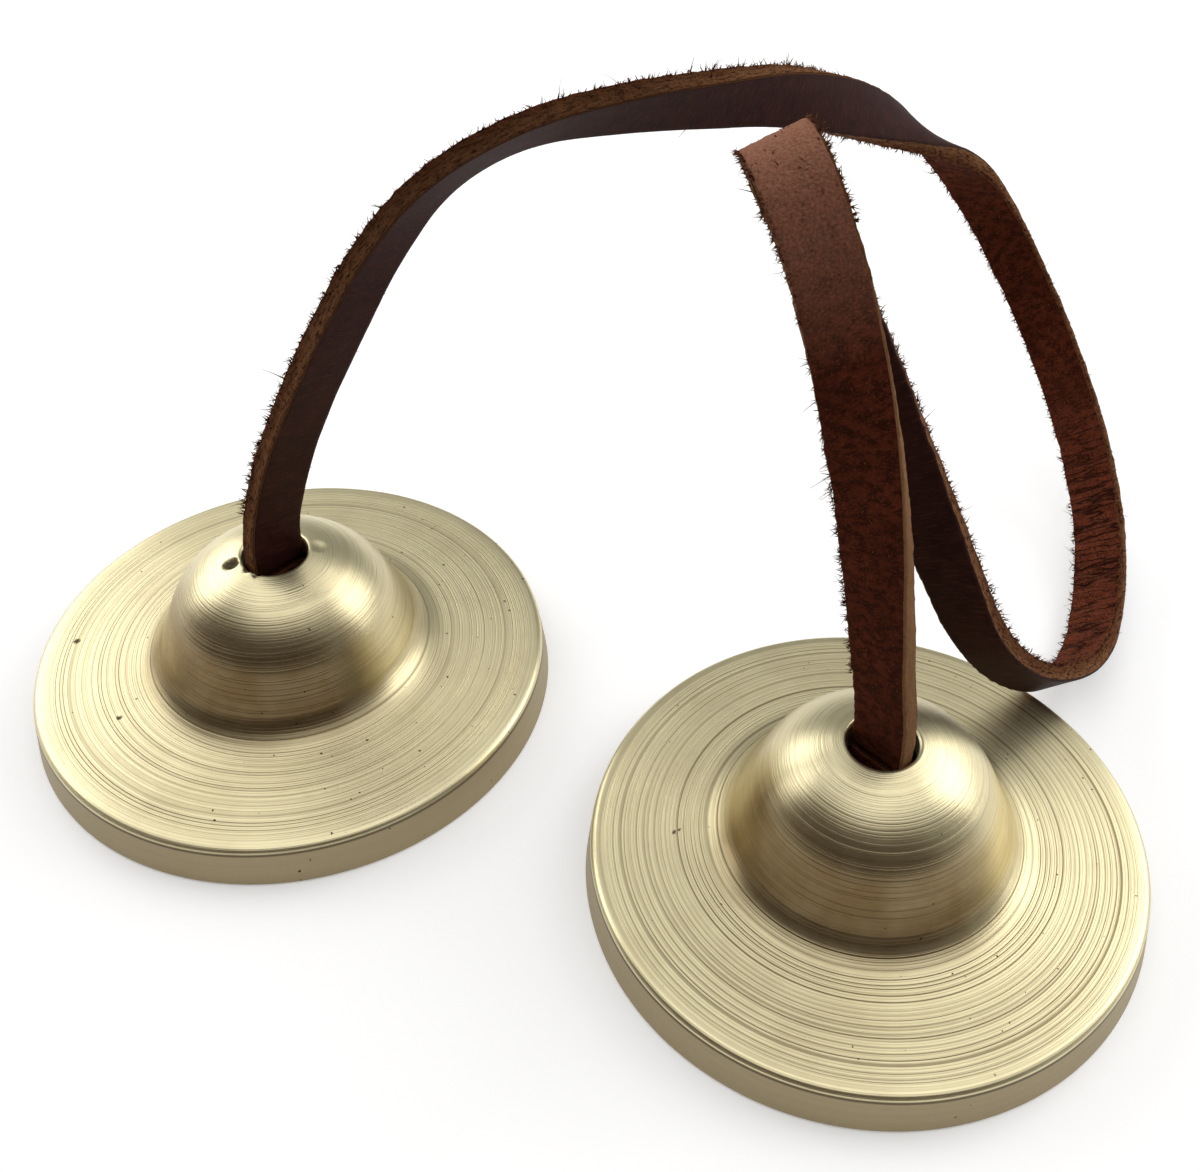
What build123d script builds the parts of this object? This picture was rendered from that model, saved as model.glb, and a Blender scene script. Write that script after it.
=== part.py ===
"""Tingsha: a pair of turned bell-metal cymbals tied to the two ends of one flat leather strap.

Millimetres, +Z up. The cymbals stand side by side on the floor z = 0, the left one at -X and the
right one at +X. The origin is on the floor halfway between their centres.
"""

import math
import os

from build123d import *

os.makedirs("parts", exist_ok=True)

# Cymbals
cymbal_diameter = 65.0      # over the foot
cymbal_spacing = 76.7       # between the two centres
rim_height = 5.6            # foot to the top edge of the rim
rim_flare = 0.7             # the rim wall leans out by this much towards the foot
flange_slope = 0.10         # rise of the flange per millimetre towards the middle
dome_arc_radius = 12.8      # the dome's outline is an arc that runs into a straight flank
dome_arc_offset = 1.9       # the arc's centre stands this far off the axis
dome_arc_height = 9.55      # and this far above the foot
dome_flank = 74.0           # slope of the flank, in degrees
dome_blend = 3.0            # hollow curve between flank and flange
dome_wall = 2.7
mouth_blend = 5.0           # rounded mouth of the hollow under the dome
flange_thickness = 3.6      # under the dome's edge
foot_width = 4.2            # flat ring that stands on the floor
foot_step = 2.2             # how far the underside stands clear of the floor beside the foot
foot_slant = 1.6
edge_break = 0.35           # worn edges of rim, foot and hole

# Strap
strap_width = 6.9
strap_thickness = 2.2
hole_clearance = 0.28       # between the strap's corners and the hole
pivot_clearance = 0.3       # between the strap's rounded end and the knot

# Knots
knot_width = 13.0
knot_depth = 9.6
knot_height = 10.0
band_thickness = 1.2        # the turn of strap that stands out round the knot
tail_length = 3.0

# Sizes that follow from the ones above
foot_radius = cymbal_diameter / 2
rim_radius = foot_radius - rim_flare
hole_radius = math.hypot(strap_width / 2, strap_thickness / 2) + hole_clearance
left_x = -cymbal_spacing / 2
right_x = cymbal_spacing / 2


def flange_z(r):
    """Height of the flange's upper face at radius r."""
    return rim_height + flange_slope * (rim_radius - r)


def dome_z(r, arc_radius):
    """Height of a dome arc at radius r."""
    return dome_arc_height + math.sqrt(arc_radius**2 - (r - dome_arc_offset) ** 2)


flank_lean = math.radians(90 - dome_flank)
flank_fall = math.tan(math.radians(dome_flank))
inner_arc_radius = dome_arc_radius - dome_wall
hole_top = dome_z(hole_radius, dome_arc_radius)
hole_bottom = dome_z(hole_radius, inner_arc_radius)
pivot_z = (hole_top + hole_bottom) / 2


def dome_point(arc_radius, angle):
    """Point of a dome arc as radius and height, at an angle above level."""
    r = dome_arc_offset + arc_radius * math.cos(angle)
    z = dome_arc_height + arc_radius * math.sin(angle)
    return (r, z)


# The flank runs on from the dome's arc to the flange, and inside from the hollow's arc to its mouth.
shoulder = dome_point(dome_arc_radius, flank_lean)
inner_shoulder = dome_point(inner_arc_radius, flank_lean)
crown = dome_point(dome_arc_radius, (flank_lean + math.pi / 2) / 2)
inner_crown = dome_point(inner_arc_radius, (flank_lean + math.pi / 2) / 2)
skirt_radius = (shoulder[1] + flank_fall * shoulder[0] - flange_z(0)) / (flank_fall - flange_slope)
under_z = flange_z(skirt_radius) - flange_thickness
mouth_radius = inner_shoulder[0] + (inner_shoulder[1] - under_z) / flank_fall
foot_inner = foot_radius - foot_width
step_radius = foot_inner - foot_slant

# Half section of a cymbal about the Z axis, as radius and height
with BuildSketch(Plane.XZ) as section:
    with BuildLine():
        Line((foot_inner, 0), (foot_radius, 0))
        Line((foot_radius, 0), (rim_radius, rim_height))
        Line((rim_radius, rim_height), (skirt_radius, flange_z(skirt_radius)))
        Line((skirt_radius, flange_z(skirt_radius)), shoulder)
        ThreePointArc(shoulder, crown, (hole_radius, hole_top))
        Line((hole_radius, hole_top), (hole_radius, hole_bottom))
        ThreePointArc((hole_radius, hole_bottom), inner_crown, inner_shoulder)
        Line(inner_shoulder, (mouth_radius, under_z))
        Line((mouth_radius, under_z), (step_radius, foot_step))
        Line((step_radius, foot_step), (foot_inner, 0))
    make_face()
    for r, z, size in (
        (skirt_radius, flange_z(skirt_radius), dome_blend),
        (mouth_radius, under_z, mouth_blend),
    ):
        fillet(section.vertices().sort_by_distance(Vector(r, z, 0))[0], size)
    for r, z in (
        (rim_radius, rim_height),
        (foot_radius, 0),
        (foot_inner, 0),
        (hole_radius, hole_top),
        (hole_radius, hole_bottom),
    ):
        chamfer(section.vertices().sort_by_distance(Vector(r, z, 0))[0], edge_break)

with BuildPart() as left_cymbal:
    with BuildSketch(Plane(origin=(left_x, 0, 0), x_dir=(1, 0, 0), z_dir=(0, -1, 0))):
        add(section.sketch_local)
    revolve(axis=Axis((left_x, 0, 0), (0, 0, 1)))

with BuildPart() as right_cymbal:
    with BuildSketch(Plane(origin=(right_x, 0, 0), x_dir=(1, 0, 0), z_dir=(0, -1, 0))):
        add(section.sketch_local)
    revolve(axis=Axis((right_x, 0, 0), (0, 0, 1)))


# The strap's route, from the left hole to the right one. Each line is a point on the strap's
# middle and the direction across the strap there, towards the same cut edge all the way.
def from_left(x, y, z):
    return (left_x + x, y, pivot_z + z)


def from_right(x, y, z):
    return (right_x + x, y, pivot_z + z)


def behind_right(x, y, z):
    """Points of the loop that lies behind the right cymbal, measured from its back rim."""
    return (right_x + x, foot_radius + y, rim_height + z)


left_across = (-0.38, -0.92, 0)
right_across = (-0.92, 0.39, 0)

route = [
    # out of the left hole and up
    (from_left(0, 0, 0), left_across),
    (from_left(0, 0, 4.4), left_across),
    (from_left(1.6, 0.2, 10.6), (-0.40, -0.91, 0.13)),
    (from_left(4.4, 0.5, 18.6), (-0.37, -0.91, 0.18)),
    (from_left(8.2, 1.2, 27.2), (-0.32, -0.91, 0.26)),
    (from_left(12.2, 2.8, 35.6), (-0.26, -0.89, 0.36)),
    (from_left(15.8, 6, 43.7), (-0.14, -0.86, 0.48)),
    # over the bend and back along the arch
    (from_left(20.5, 11, 51), (0.16, -0.79, 0.59)),
    (from_left(27.5, 18, 55), (0.44, -0.58, 0.70)),
    (from_left(35, 26.5, 54.8), (0.48, -0.26, 0.83)),
    (from_left(41, 36, 52.7), (0.42, 0.02, 0.90)),
    (from_left(45.3, 45.5, 49.8), (0.26, 0.24, 0.93)),
    (from_left(48.9, 54.5, 45.7), (-0.05, 0.46, 0.88)),
    # the half twist behind the right cymbal
    (behind_right(-24, 31, 56), (-0.40, 0.59, 0.70)),
    (behind_right(-20.3, 39.5, 50.6), (-0.75, 0.57, 0.35)),
    (behind_right(-16.8, 47.5, 44.2), (-0.94, 0.28, -0.18)),
    (behind_right(-13.2, 54, 36.6), (-0.88, 0, -0.47)),
    (behind_right(-8.6, 57, 28), (-0.83, -0.15, -0.53)),
    # down and forward to the back rim
    (behind_right(-2.3, 55.4, 19.5), (-0.81, -0.17, -0.56)),
    (behind_right(4.8, 49.8, 11.3), (-0.79, -0.16, -0.59)),
    (behind_right(11.2, 41, 4.8), (-0.81, -0.13, -0.57)),
    (behind_right(15.9, 29.8, 0.1), (-0.84, -0.07, -0.54)),
    (behind_right(18.2, 17.5, -1.9), (-0.81, -0.05, -0.58)),
    (behind_right(18.2, 5.8, -1.2), (-0.75, -0.06, -0.66)),
    (behind_right(15, -3.8, 3.4), (-0.77, -0.07, -0.64)),
    # up again behind the front run
    (from_right(10.3, 21.4, -4.8), (-0.87, 0.09, -0.48)),
    (from_right(5.6, 17.4, 3.7), (-0.89, 0.24, -0.38)),
    (from_right(0.8, 16.6, 14.4), (-0.91, 0.06, -0.42)),
    (from_right(-4.6, 16.3, 25.2), (-0.87, -0.20, -0.46)),
    (from_right(-9.7, 16.3, 35.8), (-0.82, -0.36, -0.44)),
    (from_right(-14.4, 15.6, 45.4), (-0.77, -0.48, -0.42)),
    (from_right(-17.3, 14.6, 52.6), (-0.75, -0.54, -0.40)),
    # the fold at the top
    (from_right(-20.8, 11.6, 63.1), (-0.73, -0.56, -0.39)),
    (from_right(-15.5, 1.8, 66.1), (-0.76, -0.57, -0.31)),
    # down into the right hole
    (from_right(-10.2, -1, 56.6), (-0.78, -0.57, -0.26)),
    (from_right(-7, -1.8, 46.8), (-0.88, -0.39, -0.26)),
    (from_right(-4.5, -1.6, 36), (-0.97, -0.10, -0.21)),
    (from_right(-2.7, -1, 24.4), (-0.98, 0.17, -0.13)),
    (from_right(-1.2, -0.5, 13.2), (-0.93, 0.33, -0.09)),
    (from_right(0, 0, 4.6), right_across),
    (from_right(0, 0, 0), right_across),
]


def bend_radii(points):
    """One radius per inner point, so that each arc takes 0.45 of its shorter run."""
    radii = []
    for before, here, after in zip(points, points[1:], points[2:]):
        run_in = Vector(*here) - Vector(*before)
        run_out = Vector(*after) - Vector(*here)
        half_turn = math.radians(run_in.get_angle(run_out)) / 2
        radii.append(0.45 * min(run_in.length, run_out.length) / math.tan(half_turn))
    return radii


points = [point for point, across in route]
acrosses = [Vector(*across).normalized() for point, across in route]
radii = bend_radii(points)

with BuildPart() as strap:
    with BuildLine() as strap_line:
        FilletPolyline(*points, radius=radii)
    path = strap_line.wires()[0]
    # Stations by length: the two ends, and the start, middle and end of every arc. The crosswise
    # direction turns evenly from the middle of one arc to the middle of the next.
    edges = path.order_edges()
    ends = [0.0]
    for edge in edges:
        ends.append(ends[-1] + edge.length)
    middles = [0.0]
    middles += [(ends[i] + ends[i + 1]) / 2 for i in range(1, len(edges), 2)]
    middles += [ends[-1]]
    stations = [0.0, ends[-1]]
    for i in range(1, len(edges), 2):
        pieces = 6 if radii[(i - 1) // 2] < 2 * strap_width else 2
        for k in range(pieces + 1):
            stations.append(ends[i] + (ends[i + 1] - ends[i]) * k / pieces)
    stations.sort()
    for station in stations:
        last = len(middles) - 2
        i = next((n for n in range(last) if station <= middles[n + 1]), last)
        share = (station - middles[i]) / (middles[i + 1] - middles[i])
        across = acrosses[i] * (1 - share) + acrosses[i + 1] * share
        along = path.tangent_at(station, position_mode=PositionMode.LENGTH)
        across = across - along * across.dot(along)
        place = path.position_at(station, position_mode=PositionMode.LENGTH)
        with BuildSketch(Plane(origin=place, x_dir=across, z_dir=along)):
            Rectangle(strap_width, strap_thickness)
    loft(ruled=True)
    swept_volume = strap.part.volume
    # Each end is round about the line on which its cymbal tilts.
    for place, across in (route[0], route[-1]):
        with Locations(Plane(origin=place, z_dir=across).location):
            Cylinder(strap_thickness / 2, strap_width)

print("strap length %.1f mm" % path.length)
print("strap bend radii", ", ".join("%.1f" % radius for radius in radii))
plain_volume = strap_width * strap_thickness * path.length
print("strap volume %.0f, section times length %.0f mm3" % (swept_volume, plain_volume))

# A knot: a lump of strap with one turn standing out round it, a neck up to the hole and a tail
# down. It is drawn with the pivot at the origin and the strap's width along X.
neck_top = -strap_thickness / 2 - pivot_clearance
knot_top = hole_bottom - pivot_z - edge_break - pivot_clearance
knot_mid = knot_top - knot_height / 2

with BuildPart() as knot_lump:
    with BuildSketch(Plane.XY.offset(knot_mid)):
        SlotOverall(knot_width - 2 * band_thickness, knot_depth - 2 * band_thickness)
    extrude(amount=knot_height / 2 - band_thickness, both=True)
    for face in (knot_lump.faces().sort_by(Axis.Z)[0], knot_lump.faces().sort_by(Axis.Z)[-1]):
        chamfer(face.edges(), band_thickness)

# the turn that leans over the lump
turn_plane = Plane(origin=(0, 0, knot_mid), x_dir=(1, 0, 0.35), z_dir=(-0.35, 0, 1))
turn_axis = Axis(turn_plane.origin, turn_plane.z_dir)
with BuildPart() as knot_turn:
    with BuildSketch(turn_plane):
        SlotOverall(knot_width, knot_depth)
    extrude(amount=strap_width / 2 - band_thickness, both=True)
    for face in (knot_turn.faces().sort_by(turn_axis)[0], knot_turn.faces().sort_by(turn_axis)[-1]):
        chamfer(face.edges(), band_thickness / 2)

# the tail leans a little
tail_plane = Plane(origin=(0.8, 0.6, knot_mid), x_dir=(1, 0.2, 0.15), z_dir=(-0.15, 0.1, -1))
with BuildPart() as knot_form:
    add(knot_lump.part)
    add(knot_turn.part)
    with BuildSketch(Plane.XY.offset(neck_top)):
        Rectangle(strap_width, strap_thickness)
    extrude(amount=knot_mid - neck_top)
    with BuildSketch(tail_plane):
        Rectangle(strap_width, strap_thickness)
    extrude(amount=knot_height / 2 + tail_length)

with BuildPart() as left_knot:
    with Locations(Plane(origin=(left_x, 0, pivot_z), x_dir=left_across, z_dir=(0, 0, 1)).location):
        add(knot_form.part)

with BuildPart() as right_knot:
    with Locations(Plane(origin=(right_x, 0, pivot_z), x_dir=right_across, z_dir=(0, 0, 1)).location):
        add(knot_form.part)

left_cymbal.part.label = "left_cymbal"
right_cymbal.part.label = "right_cymbal"
strap.part.label = "strap"
left_knot.part.label = "left_knot"
right_knot.part.label = "right_knot"

export_step(left_cymbal.part, "parts/left_cymbal.step")
export_step(right_cymbal.part, "parts/right_cymbal.step")
export_step(strap.part, "parts/strap.step")
export_step(left_knot.part, "parts/left_knot.step")
export_step(right_knot.part, "parts/right_knot.step")

print("cymbal volume %.0f mm3, hole %.2f mm wide" % (left_cymbal.part.volume, 2 * hole_radius))
print("pivot at %.3f, skirt radius %.2f, mouth radius %.2f" % (pivot_z, skirt_radius, mouth_radius))
print("knot volume %.0f mm3" % left_knot.part.volume)
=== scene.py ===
"""Tingsha: two turned bell-metal hand cymbals tied to the two ends of one flat leather strap."""

import math
import random

import bpy
from bpy.props import FloatProperty, FloatVectorProperty, IntProperty, PointerProperty
from mathutils import Matrix, Vector, noise


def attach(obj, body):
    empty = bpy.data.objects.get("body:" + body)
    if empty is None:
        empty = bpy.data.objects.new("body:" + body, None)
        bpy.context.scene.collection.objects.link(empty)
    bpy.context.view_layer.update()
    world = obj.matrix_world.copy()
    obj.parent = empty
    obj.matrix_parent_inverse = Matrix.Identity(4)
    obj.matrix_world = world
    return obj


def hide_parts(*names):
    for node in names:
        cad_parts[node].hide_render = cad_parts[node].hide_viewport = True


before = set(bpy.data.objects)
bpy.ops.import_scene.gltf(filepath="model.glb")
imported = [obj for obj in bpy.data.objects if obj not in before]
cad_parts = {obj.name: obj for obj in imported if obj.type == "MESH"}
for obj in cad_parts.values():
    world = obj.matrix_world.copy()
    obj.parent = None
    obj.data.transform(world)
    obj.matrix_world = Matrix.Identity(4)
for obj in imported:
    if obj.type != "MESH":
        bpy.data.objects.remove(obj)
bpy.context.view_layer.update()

bl_info = {
    "name": "Tingsha",
    "version": (1, 0, 0),
    "blender": (4, 5, 0),
    "location": "View3D > Sidebar > Tingsha",
    "description": "Dresses a pair of hand cymbals on a leather strap around their solid model",
    "category": "Object",
}

SPACING = 0.0767
PIVOT_HEIGHT = 0.02082
LEFT_HOLE = Vector((-SPACING / 2, 0.0, PIVOT_HEIGHT))
RIGHT_HOLE = Vector((SPACING / 2, 0.0, PIVOT_HEIGHT))
RIGHT_BACK_RIM = Vector((SPACING / 2, 0.0325, 0.0056))
LEFT_ACROSS = (-0.38, -0.92, 0.0)
RIGHT_ACROSS = (-0.92, 0.39, 0.0)
SMOOTH_EDGE_FROM = 0.350  # length along the strap where one cut edge has no fuzz left

# The strap's route from the left hole to the right one, as the solid model has it: where each
# point is measured from, the point, and the way across the strap towards the same cut edge.
STRAP_ROUTE = [
    # out of the left hole and up
    (LEFT_HOLE, (0.0, 0.0, 0.0), LEFT_ACROSS),
    (LEFT_HOLE, (0.0, 0.0, 0.0044), LEFT_ACROSS),
    (LEFT_HOLE, (0.0016, 0.0002, 0.0106), (-0.40, -0.91, 0.13)),
    (LEFT_HOLE, (0.0044, 0.0005, 0.0186), (-0.37, -0.91, 0.18)),
    (LEFT_HOLE, (0.0082, 0.0012, 0.0272), (-0.32, -0.91, 0.26)),
    (LEFT_HOLE, (0.0122, 0.0028, 0.0356), (-0.26, -0.89, 0.36)),
    (LEFT_HOLE, (0.0158, 0.0060, 0.0437), (-0.14, -0.86, 0.48)),
    # over the bend and back along the arch
    (LEFT_HOLE, (0.0205, 0.0110, 0.0510), (0.16, -0.79, 0.59)),
    (LEFT_HOLE, (0.0275, 0.0180, 0.0550), (0.44, -0.58, 0.70)),
    (LEFT_HOLE, (0.0350, 0.0265, 0.0548), (0.48, -0.26, 0.83)),
    (LEFT_HOLE, (0.0410, 0.0360, 0.0527), (0.42, 0.02, 0.90)),
    (LEFT_HOLE, (0.0453, 0.0455, 0.0498), (0.26, 0.24, 0.93)),
    (LEFT_HOLE, (0.0489, 0.0545, 0.0457), (-0.05, 0.46, 0.88)),
    # the half twist behind the right cymbal
    (RIGHT_BACK_RIM, (-0.0240, 0.0310, 0.0560), (-0.40, 0.59, 0.70)),
    (RIGHT_BACK_RIM, (-0.0203, 0.0395, 0.0506), (-0.75, 0.57, 0.35)),
    (RIGHT_BACK_RIM, (-0.0168, 0.0475, 0.0442), (-0.94, 0.28, -0.18)),
    (RIGHT_BACK_RIM, (-0.0132, 0.0540, 0.0366), (-0.88, 0.0, -0.47)),
    (RIGHT_BACK_RIM, (-0.0086, 0.0570, 0.0280), (-0.83, -0.15, -0.53)),
    # down and forward to the back rim
    (RIGHT_BACK_RIM, (-0.0023, 0.0554, 0.0195), (-0.81, -0.17, -0.56)),
    (RIGHT_BACK_RIM, (0.0048, 0.0498, 0.0113), (-0.79, -0.16, -0.59)),
    (RIGHT_BACK_RIM, (0.0112, 0.0410, 0.0048), (-0.81, -0.13, -0.57)),
    (RIGHT_BACK_RIM, (0.0159, 0.0298, 0.0001), (-0.84, -0.07, -0.54)),
    (RIGHT_BACK_RIM, (0.0182, 0.0175, -0.0019), (-0.81, -0.05, -0.58)),
    (RIGHT_BACK_RIM, (0.0182, 0.0058, -0.0012), (-0.75, -0.06, -0.66)),
    (RIGHT_BACK_RIM, (0.0150, -0.0038, 0.0034), (-0.77, -0.07, -0.64)),
    # up again behind the front run
    (RIGHT_HOLE, (0.0103, 0.0214, -0.0048), (-0.87, 0.09, -0.48)),
    (RIGHT_HOLE, (0.0056, 0.0174, 0.0037), (-0.89, 0.24, -0.38)),
    (RIGHT_HOLE, (0.0008, 0.0166, 0.0144), (-0.91, 0.06, -0.42)),
    (RIGHT_HOLE, (-0.0046, 0.0163, 0.0252), (-0.87, -0.20, -0.46)),
    (RIGHT_HOLE, (-0.0097, 0.0163, 0.0358), (-0.82, -0.36, -0.44)),
    (RIGHT_HOLE, (-0.0144, 0.0156, 0.0454), (-0.77, -0.48, -0.42)),
    (RIGHT_HOLE, (-0.0173, 0.0146, 0.0526), (-0.75, -0.54, -0.40)),
    # the fold at the top
    (RIGHT_HOLE, (-0.0208, 0.0116, 0.0631), (-0.73, -0.56, -0.39)),
    (RIGHT_HOLE, (-0.0155, 0.0018, 0.0661), (-0.76, -0.57, -0.31)),
    # down into the right hole
    (RIGHT_HOLE, (-0.0102, -0.0010, 0.0566), (-0.78, -0.57, -0.26)),
    (RIGHT_HOLE, (-0.0070, -0.0018, 0.0468), (-0.88, -0.39, -0.26)),
    (RIGHT_HOLE, (-0.0045, -0.0016, 0.0360), (-0.97, -0.10, -0.21)),
    (RIGHT_HOLE, (-0.0027, -0.0010, 0.0244), (-0.98, 0.17, -0.13)),
    (RIGHT_HOLE, (-0.0012, -0.0005, 0.0132), (-0.93, 0.33, -0.09)),
    (RIGHT_HOLE, (0.0, 0.0, 0.0046), RIGHT_ACROSS),
    (RIGHT_HOLE, (0.0, 0.0, 0.0), RIGHT_ACROSS),
]

# One overhand knot in the strap's end, from its neck under the hole to its tail, with the pivot at
# the origin and the strap's width along X there: point, way across, share of the strap's width.
KNOT_ROUTE = [
    ((0.0, 0.0, -0.0015), (1.0, 0.0, 0.0), 0.98),
    ((0.0, 0.0003, -0.0042), (1.0, 0.0, 0.0), 0.90),
    ((0.0, 0.0010, -0.0080), (1.0, 0.0, 0.0), 0.82),
    ((0.0, 0.0006, -0.0112), (1.0, 0.0, 0.0), 0.82),
    ((0.0003, -0.0024, -0.0124), (1.0, 0.0, 0.05), 0.84),
    ((0.0007, -0.0041, -0.0100), (0.95, 0.0, -0.30), 0.84),
    ((0.0024, -0.0043, -0.0078), (0.50, 0.0, -0.87), 0.82),
    ((0.0054, -0.0030, -0.0069), (0.05, 0.0, -1.0), 0.80),
    ((0.0062, 0.0006, -0.0066), (0.10, 0.0, -1.0), 0.80),
    ((0.0043, 0.0036, -0.0067), (0.05, 0.05, -1.0), 0.80),
    ((0.0, 0.0046, -0.0070), (0.0, 0.10, -1.0), 0.80),
    ((-0.0043, 0.0036, -0.0074), (-0.10, 0.05, -1.0), 0.80),
    ((-0.0062, 0.0004, -0.0080), (-0.15, 0.0, -1.0), 0.80),
    ((-0.0050, -0.0024, -0.0088), (-0.30, 0.0, -0.95), 0.82),
    ((-0.0026, -0.0030, -0.0102), (-0.65, 0.10, -0.75), 0.86),
    ((-0.0008, -0.0024, -0.0124), (-0.90, 0.20, -0.35), 0.92),
    ((0.0002, -0.0012, -0.0150), (-0.95, 0.25, -0.05), 0.96),
]

# Long loose hairs: length along the strap, cut edge, how many, and the longest.
LOOSE_HAIRS = [
    (0.0109, 1, 5, 0.0015),
    (0.0776, 1, 1, 0.0026),
    (0.0900, 1, 6, 0.0014),
    (0.1035, 1, 3, 0.0022),
    (0.1760, -1, 5, 0.0016),
    (0.3750, 1, 6, 0.0015),
]

# Flaws of each casting, from its own centre: dents as middle, spread and depth, and dark marks as
# middle and spread: stains, and painted shade in the pit and notch beside the left hole.
DENTS = {
    "left": [
        ((-0.0037, -0.0035, 0.0219), 0.0011, 0.0009),
        ((-0.0012, -0.0039, 0.0222), 0.0007, 0.00025),
        ((0.0003, -0.0041, 0.0221), 0.0006, 0.0005),
        ((0.0042, 0.0033, 0.0219), 0.0013, 0.00018),
    ],
    "right": [],
}
STAINS_AND_PIT_SHADE = {
    "left": [
        # the first two are painted shade in the pit and notch beside the hole; the others are stains
        ((-0.0037, -0.0035, 0.0217), 0.0011),
        ((0.0002, -0.0040, 0.0219), 0.0004),
        ((-0.0254, -0.0100, 0.0060), 0.0006),
        ((-0.0120, -0.0188, 0.0065), 0.0005),
    ],
    "right": [
        ((-0.0202, -0.0086, 0.0067), 0.00032),
        ((-0.0197, -0.0081, 0.0067), 0.00028),
    ],
}

# Share of the turning grooves that wear has left on each casting's flange, and the size of its
# widest specks as a share of a speck's cell.
GROOVES_LEFT = {"left": 0.55, "right": 1.0}
WIDEST_SPECK = {"left": 0.14, "right": 0.11}

MILLIMETRES = 1000.0  # in a metre

# Zones of a cymbal, from its axis or above its foot: where each fades in, and where it fades out.
FLANGE = ((0.0165, 0.0195), (0.0312, 0.0296))
DOME_FOOT = ((0.0092, 0.0135), (0.0198, 0.0158))
RIM_WALL = (0.0308, 0.0314)
RIM_WALL_TOP = (0.0050, 0.0046)
PAINTED_RIM_REFLECTION, PAINTED_RIM_REFLECTION_FADE = 0.00485, (0.00012, 0.00030)  # painted dark reflection as a line in the rounding under the rim's top edge
TOOL_STEP, TOOL_STEP_HALF = 0.0174, 0.00013  # fine step where the flange begins

BROAD_PITCH, CLOSE_PITCH = 0.00066, 0.00029  # spacing of the two sets of turning grooves
GROOVE_DRIFT = 0.07  # how much a groove changes on its way round
TOOL_WAVE = 0.00002  # height of the waves that a hand-held tool leaves
SPECKS_PER_METRE, NARROWEST_SPECK = 780.0, 0.02
STAIN_SHAKE = 0.0005  # how ragged the outlines of stains are
LEFT_SEED, RIGHT_SEED, FUZZ_SEED = 3.7, 11.2, 11

# Longest mesh step on each part of a cymbal's outline.
EDGE_STEP, INNER_EDGE_STEP, FLANGE_STEP = 0.0001, 0.00015, 0.00017
DOME_STEP, WALL_STEP, MOUTH_STEP, PLAIN_STEP = 0.00022, 0.0003, 0.0004, 0.0009

# Stretches of the strap by the length along it: where each fades in, and where it fades out.
FOLD = ((0.322, 0.332), (0.362, 0.338))
WRINKLED = ((0.185, 0.208), (0.256, 0.240))
DARK_BEND = ((0.034, 0.054), (0.105, 0.080))
WORN_EDGE = (0.348, 0.368)
CREASES_AT, CREASES_REACH, CREASE_DEPTH = 0.224, 0.040, 0.0006

# Depth that the bump of each finish stands for.
METAL_RELIEF, FLESH_RELIEF, GRAIN_RELIEF, EDGE_RELIEF = 0.00006, 0.0004, 0.00005, 0.0005
EDGE_FLECK_COLOUR = (0.20, 0.062, 0.022)

# The strap's skin: the finish of each side and how uneven it is.
SIDE_FINISH = {"grain": 0, "flesh": 1, "low_edge": 2, "high_edge": 2}
LEATHER_PUSH = {"grain": 0.00001, "flesh": 0.0001, "low_edge": 0.00012, "high_edge": 0.00012}
EDGE_WANDER = 0.0001
SIDE_LINE = 0.003  # distance of the line beside the route that gives the way across
FACE_STEPS, EDGE_STEPS = 18, 6
CORNER_HALFWAY, CORNER_ROUND = 0.78, 1.57  # way round a cut corner, in corner radii
END_RINGS, END_RING_DEGREES = 5, 16

COVERED_STATIONS = 24  # at each end of the strap, inside a hole
TUFTS_TO_CORNER, TUFTS_TO_EDGE = 0.62, 0.80  # running shares of the tufts; the rest is on the flesh
ROOT_ACROSS, ROOT_THROUGH = 0.985, 0.96  # roots, as shares of the half width and half thickness
FIBRE_THICKNESS, HAIR_THICKNESS = (0.00004, 0.000085), 0.00005
TUFT_SPREAD, HAIR_SPREAD = 0.00012, 0.0006

# Soft lamps: side, bearing and height in degrees, width and height of the lamp.
LAMPS = [
    ("left", -78, 29, 0.50, 0.40),
    ("right", 48, 31, 0.48, 0.46),
]
LAMP_DISTANCE = 0.6
FLOOR_HALF, FLOOR_LIFT = 1.5, 0.29
CYMBAL_SHADE = (0.0300, 0.0325)

# Edges of the room's light, as parts of a unit direction.
FRONT_SHADE, FRONT_SHADE_TOP, CEILING_EDGE = (-0.12, -0.45), (0.93, 0.74), (0.63, 0.95)

# The camera, fitted to the rims of both cymbals.
CAMERA_PLACE = (0.055253, -0.108441, 0.148353)
CAMERA_RIGHT = (0.92797, 0.37220, 0.01843)
CAMERA_AHEAD = (-0.27205, 0.71042, -0.64907)
CAMERA_LENS = {
    "sensor_fit": "HORIZONTAL", "sensor_width": 36.0, "lens": 45.54,
    "shift_x": -0.0632, "shift_y": -0.0790, "clip_start": 0.01,
}


def length(name, description, default):
    return FloatProperty(name=name, description=description, default=default, unit="LENGTH")


def colour(name, description, default, **more):
    return FloatVectorProperty(name=name, description=description, default=default, subtype="COLOR", **more)


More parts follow.
